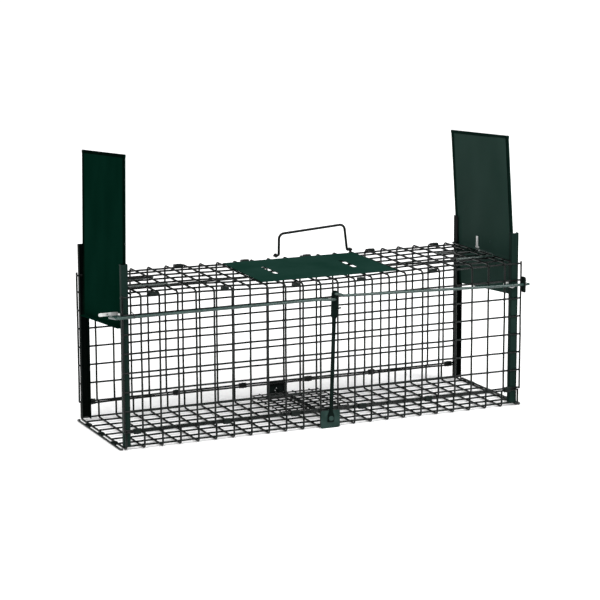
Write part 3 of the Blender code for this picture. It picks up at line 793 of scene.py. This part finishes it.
def build_rods():
    pin_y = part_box("trigger_lever")[1].y
    rod_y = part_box("right_trigger_rod")[0].y + CAD_ROD_RADIUS
    left_eye = (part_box("left_door_eyelet")[0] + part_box("left_door_eyelet")[1]) / 2
    right_eye = (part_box("right_door_eyelet")[0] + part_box("right_door_eyelet")[1]) / 2
    left_pin, right_pin = [AXLE_X + (z - AXLE_Z) * LEVER_LEAN for z in (LEFT_PIN_Z, RIGHT_PIN_Z)]
    tip = abs(left_eye.x) + EYELET_RADIUS + TIP_GAP
    radius, reach, inside = 0.0020, 0.3015, 0.2785
    left = [
        (left_pin, pin_y, LEFT_PIN_Z), (left_pin, rod_y, LEFT_PIN_Z), (left_pin - 0.010, rod_y, 0.1768),
        (left_pin - 0.024, rod_y, 0.1782), (-reach, rod_y, 0.1772),
        (-reach, left_eye.y, left_eye.z), (-tip, left_eye.y, left_eye.z),
    ]
    path = rounded(left, 0.003, 6)
    obj = wire_piece("left_rod_wire", [path], radius, RAIL_PAINT_AND_HIGHLIGHT, "left_rod", 14)
    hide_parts("left_trigger_rod")
    right = [
        (right_pin, pin_y, RIGHT_PIN_Z), (right_pin, rod_y, RIGHT_PIN_Z),
        (right_pin + 0.004, rod_y, RIGHT_PIN_Z),
        (right_pin + 0.011, rod_y, 0.1806), (inside, rod_y, 0.1732), (reach, rod_y, 0.1732),
    ]
    obj = wire_piece("right_rod_wire", [rounded(right, 0.0022, 6)], radius, RAIL_PAINT_AND_HIGHLIGHT, "right_rod", 14)
    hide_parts("right_trigger_rod")
    inner_tip = abs(right_eye.x) - EYELET_RADIUS - TIP_GAP
    finger = [
        (inside, rod_y + radius * 0.4, 0.1722), (inside, rod_y + 0.006, right_eye.z),
        (inside, right_eye.y, right_eye.z), (inner_tip, right_eye.y, right_eye.z),
    ]
    path = rounded(finger, 0.0018, 6)
    # The finger's bright zinc also carries a painted highlight for the light spot at its end.
    obj = wire_piece("right_finger_wire", [path], 0.0015, [ZINC], "right_rod", 12)
    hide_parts("right_trigger_finger")


def build_handle():
    """The carrying bail: its feet lie on the fold's own axis, each in a wire eye that the cage holds."""
    joint = JOINTS["handle_fold"]
    y, z = joint["pos_m"][1], joint["pos_m"][2]
    x0, x1 = 0.0028, 0.1082
    eyes = []
    for label in ("left", "right"):
        low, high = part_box(f"handle_saddle_{label}")
        eyes.append((low.x + high.x) / 2)
    past, bore, turns, steps = 0.0030, 0.0026, 2, 12
    ends = [x + math.copysign(past, x - leg) for x, leg in zip(eyes, (x0, x1))]
    corners = [
        (ends[0], y, z), (x0, y, z), (x0 + 0.0005, y, z + 0.0300),
        (x1 - 0.0045, y, z + 0.0370), (x1, y, z), (ends[1], y, z),
    ]
    path = rounded(corners, [0.0018, 0.0078, 0.0078, 0.0018], 8)
    bar = wire_piece("handle_bail", [path], 0.0018, HANDLE_PAINT, "handle", 14)
    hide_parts("handle")
    for label, centre in zip(("left", "right"), eyes):
        eye = []
        for step in range(turns * steps + 1):
            turn = 2 * math.pi * step / steps
            along_x = centre - 0.0017 + 0.0034 * step / (turns * steps)
            eye.append(Vector((along_x, y + bore * math.cos(turn), z + bore * math.sin(turn))))
        obj = wire_piece(f"handle_eye_{label}", [eye], 0.0006, WIRE_PAINT, "cage", 8)
        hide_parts(f"handle_saddle_{label}")


def build_latch(side):
    """A folding wire frame that lies on the top mesh, with a flat strip along its far leg."""
    name = "left" if side < 0 else "right"
    low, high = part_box(f"{name}_latch")
    z = (low.z + high.z) / 2
    near, far = -0.046, 0.004
    hinge, tip = side * 0.214, side * (max(abs(low.x), abs(high.x)) - 0.0015)
    corners = [
        (hinge, near - 0.008, z), (hinge, near, z), (tip, near + 0.003, z),
        (tip, far - 0.002, z), (hinge, far, z), (hinge, far + 0.008, z),
    ]
    path = rounded(corners, [0.0025, 0.006, 0.006, 0.0025], 6)
    obj = wire_piece(f"{name}_latch_wire", [path], 0.0012, LATCH_HIGHLIGHT_PAINT, f"{name}_latch", 12)
    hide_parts(f"{name}_latch")
    strip = bmesh.new()
    x0, x1 = sorted((hinge + side * 0.003, tip - side * 0.004))
    edge = round_rect(x0, x1, far - 0.0042, far + 0.0030, 0.0012, 3)
    plate_outline(strip, edge, [], z + 0.0004, z + 0.0015, lambda a, b, height: (a, b, height))
    obj = finish_piece(f"{name}_latch_strip", strip, WIRE_PAINT, f"{name}_latch")
    bevel_object(obj, 0.0002)


# ---------------------------------------------------------------- small bright fittings


def build_fittings():
    """The right door's catch tab, foot and rivet, the left rod's tongue, and the right guide's tie wires."""
    # The catch tab, its foot and the rod's tongue are zinc-bright as painted highlights where small white
    # glints show.
    tab = bmesh.new()
    profile = [
        (0.2812, 0.2245), (0.2824, 0.2245), (0.2826, 0.2110), (0.2838, 0.2085),
        (0.2838, 0.2070), (0.2822, 0.2078), (0.2812, 0.2110),
    ]
    plate_outline(tab, profile, [], 0.0160, 0.0205, lambda x, z, y: (x, y, z))
    obj = finish_piece("right_door_catch_tab", tab, ZINC, "right_door")
    bevel_object(obj, 0.0003)
    foot = bmesh.new()
    outline = round_rect(0.0150, 0.0245, 0.2070, 0.2098, 0.0008, 3)
    plate_outline(foot, outline, [], 0.2826, 0.2838, lambda y, z, x: (x, y, z))
    finish_piece("right_door_catch_foot", foot, ZINC, "right_door")
    rivet = bmesh.new()
    rings = []
    for radius, out in ((0.0021, 0.2845), (0.0021, 0.2836), (0.0016, 0.2829), (0.0008, 0.2825)):
        rings.append([rivet.verts.new((out, a, b)) for a, b in circle(-0.018, 0.2215, radius, 16)])
    skin(rivet, rings)
    rivet.faces.new(rings[0])
    rivet.faces.new(rings[-1])
    finish_piece("right_door_rivet", rivet, BRACKET_PAINT, "right_door")
    eye = (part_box("left_door_eyelet")[0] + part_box("left_door_eyelet")[1]) / 2
    tongue = bmesh.new()
    outline = round_rect(-0.3160, -0.2895, eye.z + 0.0022, eye.z + 0.0066, 0.0014, 3)
    hole = circle(-0.3040, eye.z + 0.0044, 0.0009, 12)
    plate_outline(tongue, outline, [hole], eye.y - 0.0008, eye.y + 0.0006, lambda x, z, y: (x, y, z))
    obj = finish_piece("left_rod_tongue", tongue, ZINC, "left_rod")
    bevel_object(obj, 0.0002)
    ties = bmesh.new()
    for shift, lean in ((0.0, 0.0035), (0.0025, -0.002)):
        path = [
            (0.2925 + shift, -0.0965, 0.1725), (0.2955 + shift, -0.0985, 0.1780),
            (0.2990 + shift, -0.0975, 0.1810 + lean),
        ]
        sweep(ties, rounded(path, 0.003, 4), 0.0006, 8)
    finish_piece("right_guide_tie_wire", ties, ZINC, "cage")


# ---------------------------------------------------------------- the stage


def place_camera():
    """A long lens, from the front left and a little above."""
    yaw, pitch, roll = math.radians(24.18), math.radians(11.246), math.radians(-0.181)
    forward = Vector((math.sin(yaw) * math.cos(pitch), math.cos(yaw) * math.cos(pitch), -math.sin(pitch)))
    right = Vector((math.cos(yaw), -math.sin(yaw), 0))
    up = right.cross(forward)
    rolled = right * math.cos(roll) + up * math.sin(roll)
    above = up * math.cos(roll) - right * math.sin(roll)
    data = bpy.data.cameras.new("camera")
    data.lens = 136.81
    data.sensor_width = 36
    data.clip_end = 50
    camera = bpy.data.objects.new("camera", data)
    bpy.context.scene.collection.objects.link(camera)
    turn = Matrix((rolled, above, -forward)).transposed().to_4x4()
    camera.matrix_world = Matrix.Translation((-1.2556, -2.7912, 0.7674)) @ turn
    bpy.context.scene.camera = camera


def area_light(name, at, towards, size, power):
    data = bpy.data.lights.new(name, "AREA")
    data.shape = "RECTANGLE"
    data.size, data.size_y = size
    data.energy = power
    lamp = bpy.data.objects.new(name, data)
    bpy.context.scene.collection.objects.link(lamp)
    lamp.location = at
    lamp.rotation_euler = (Vector(towards) - Vector(at)).to_track_quat("-Z", "Y").to_euler()


def build_stage():
    bpy.ops.mesh.primitive_plane_add(size=40, location=(0, 0, -0.0004))
    floor = bpy.context.object
    floor.name = "studio_floor"
    made, tree, shader = shader_of("studio_floor")
    shade = ramp(tree, link_noise(tree, 0.6, 2), [(0.3, (0.95, 0.95, 0.95)), (0.7, (0.97, 0.97, 0.97))])
    tree.links.new(shade, shader.inputs["Base Color"])
    shader.inputs["Roughness"].default_value = 0.55
    shader.inputs["Emission Color"].default_value = (1, 1, 1, 1)
    shader.inputs["Emission Strength"].default_value = 0.16
    floor.data.materials.append(made)
    world = bpy.data.worlds.new("studio")
    bpy.context.scene.world = world
    world.use_nodes = True
    world.node_tree.nodes["Background"].inputs["Color"].default_value = (1, 1, 1, 1)
    world.node_tree.nodes["Background"].inputs["Strength"].default_value = 0.06
    bpy.context.scene.view_settings.view_transform = "Standard"
    sun = bpy.data.lights.new("soft_sun", "SUN")
    sun.energy = 4.3
    sun.angle = math.radians(70)
    lamp = bpy.data.objects.new("soft_sun", sun)
    bpy.context.scene.collection.objects.link(lamp)
    lamp.rotation_euler = Vector((0.30, 0.50, -0.80)).to_track_quat("-Z", "Y").to_euler()
    area_light("highlight", (1.75, -2.1, 2.3), (0.1, 0, 0.15), (1.1, 1.1), 60)
    area_light("rim", (1.8, 2.0, 1.4), (0, 0, 0.15), (1.6, 1.0), 12)
    area_light("side", (-2.4, -0.6, 0.9), (0, 0, 0.15), (0.8, 1.2), 6)


def dress_cad():
    """The CAD nodes that stay get their paint."""
    finishes = {"eyelet": ZINC, "axle": ROD_PAINT, "lever": LEVER_PAINT}
    for name, obj in NODES.items():
        for key, finish in finishes.items():
            if key in name:
                obj.data.materials.clear()
                obj.data.materials.append(finish)


build_stage()
place_camera()
build_hood()
build_tray()
build_treadle()
for SIDE in (-1, 1):
    for FACE in (-1, 1):
        build_channel(SIDE, FACE)
    build_door(SIDE)
    build_sill(SIDE)
    build_latch(SIDE)
build_clips()
build_top_plate()
build_strip()
build_brackets()
build_lever()
build_guides()
build_rods()
build_handle()
build_fittings()
dress_cad()
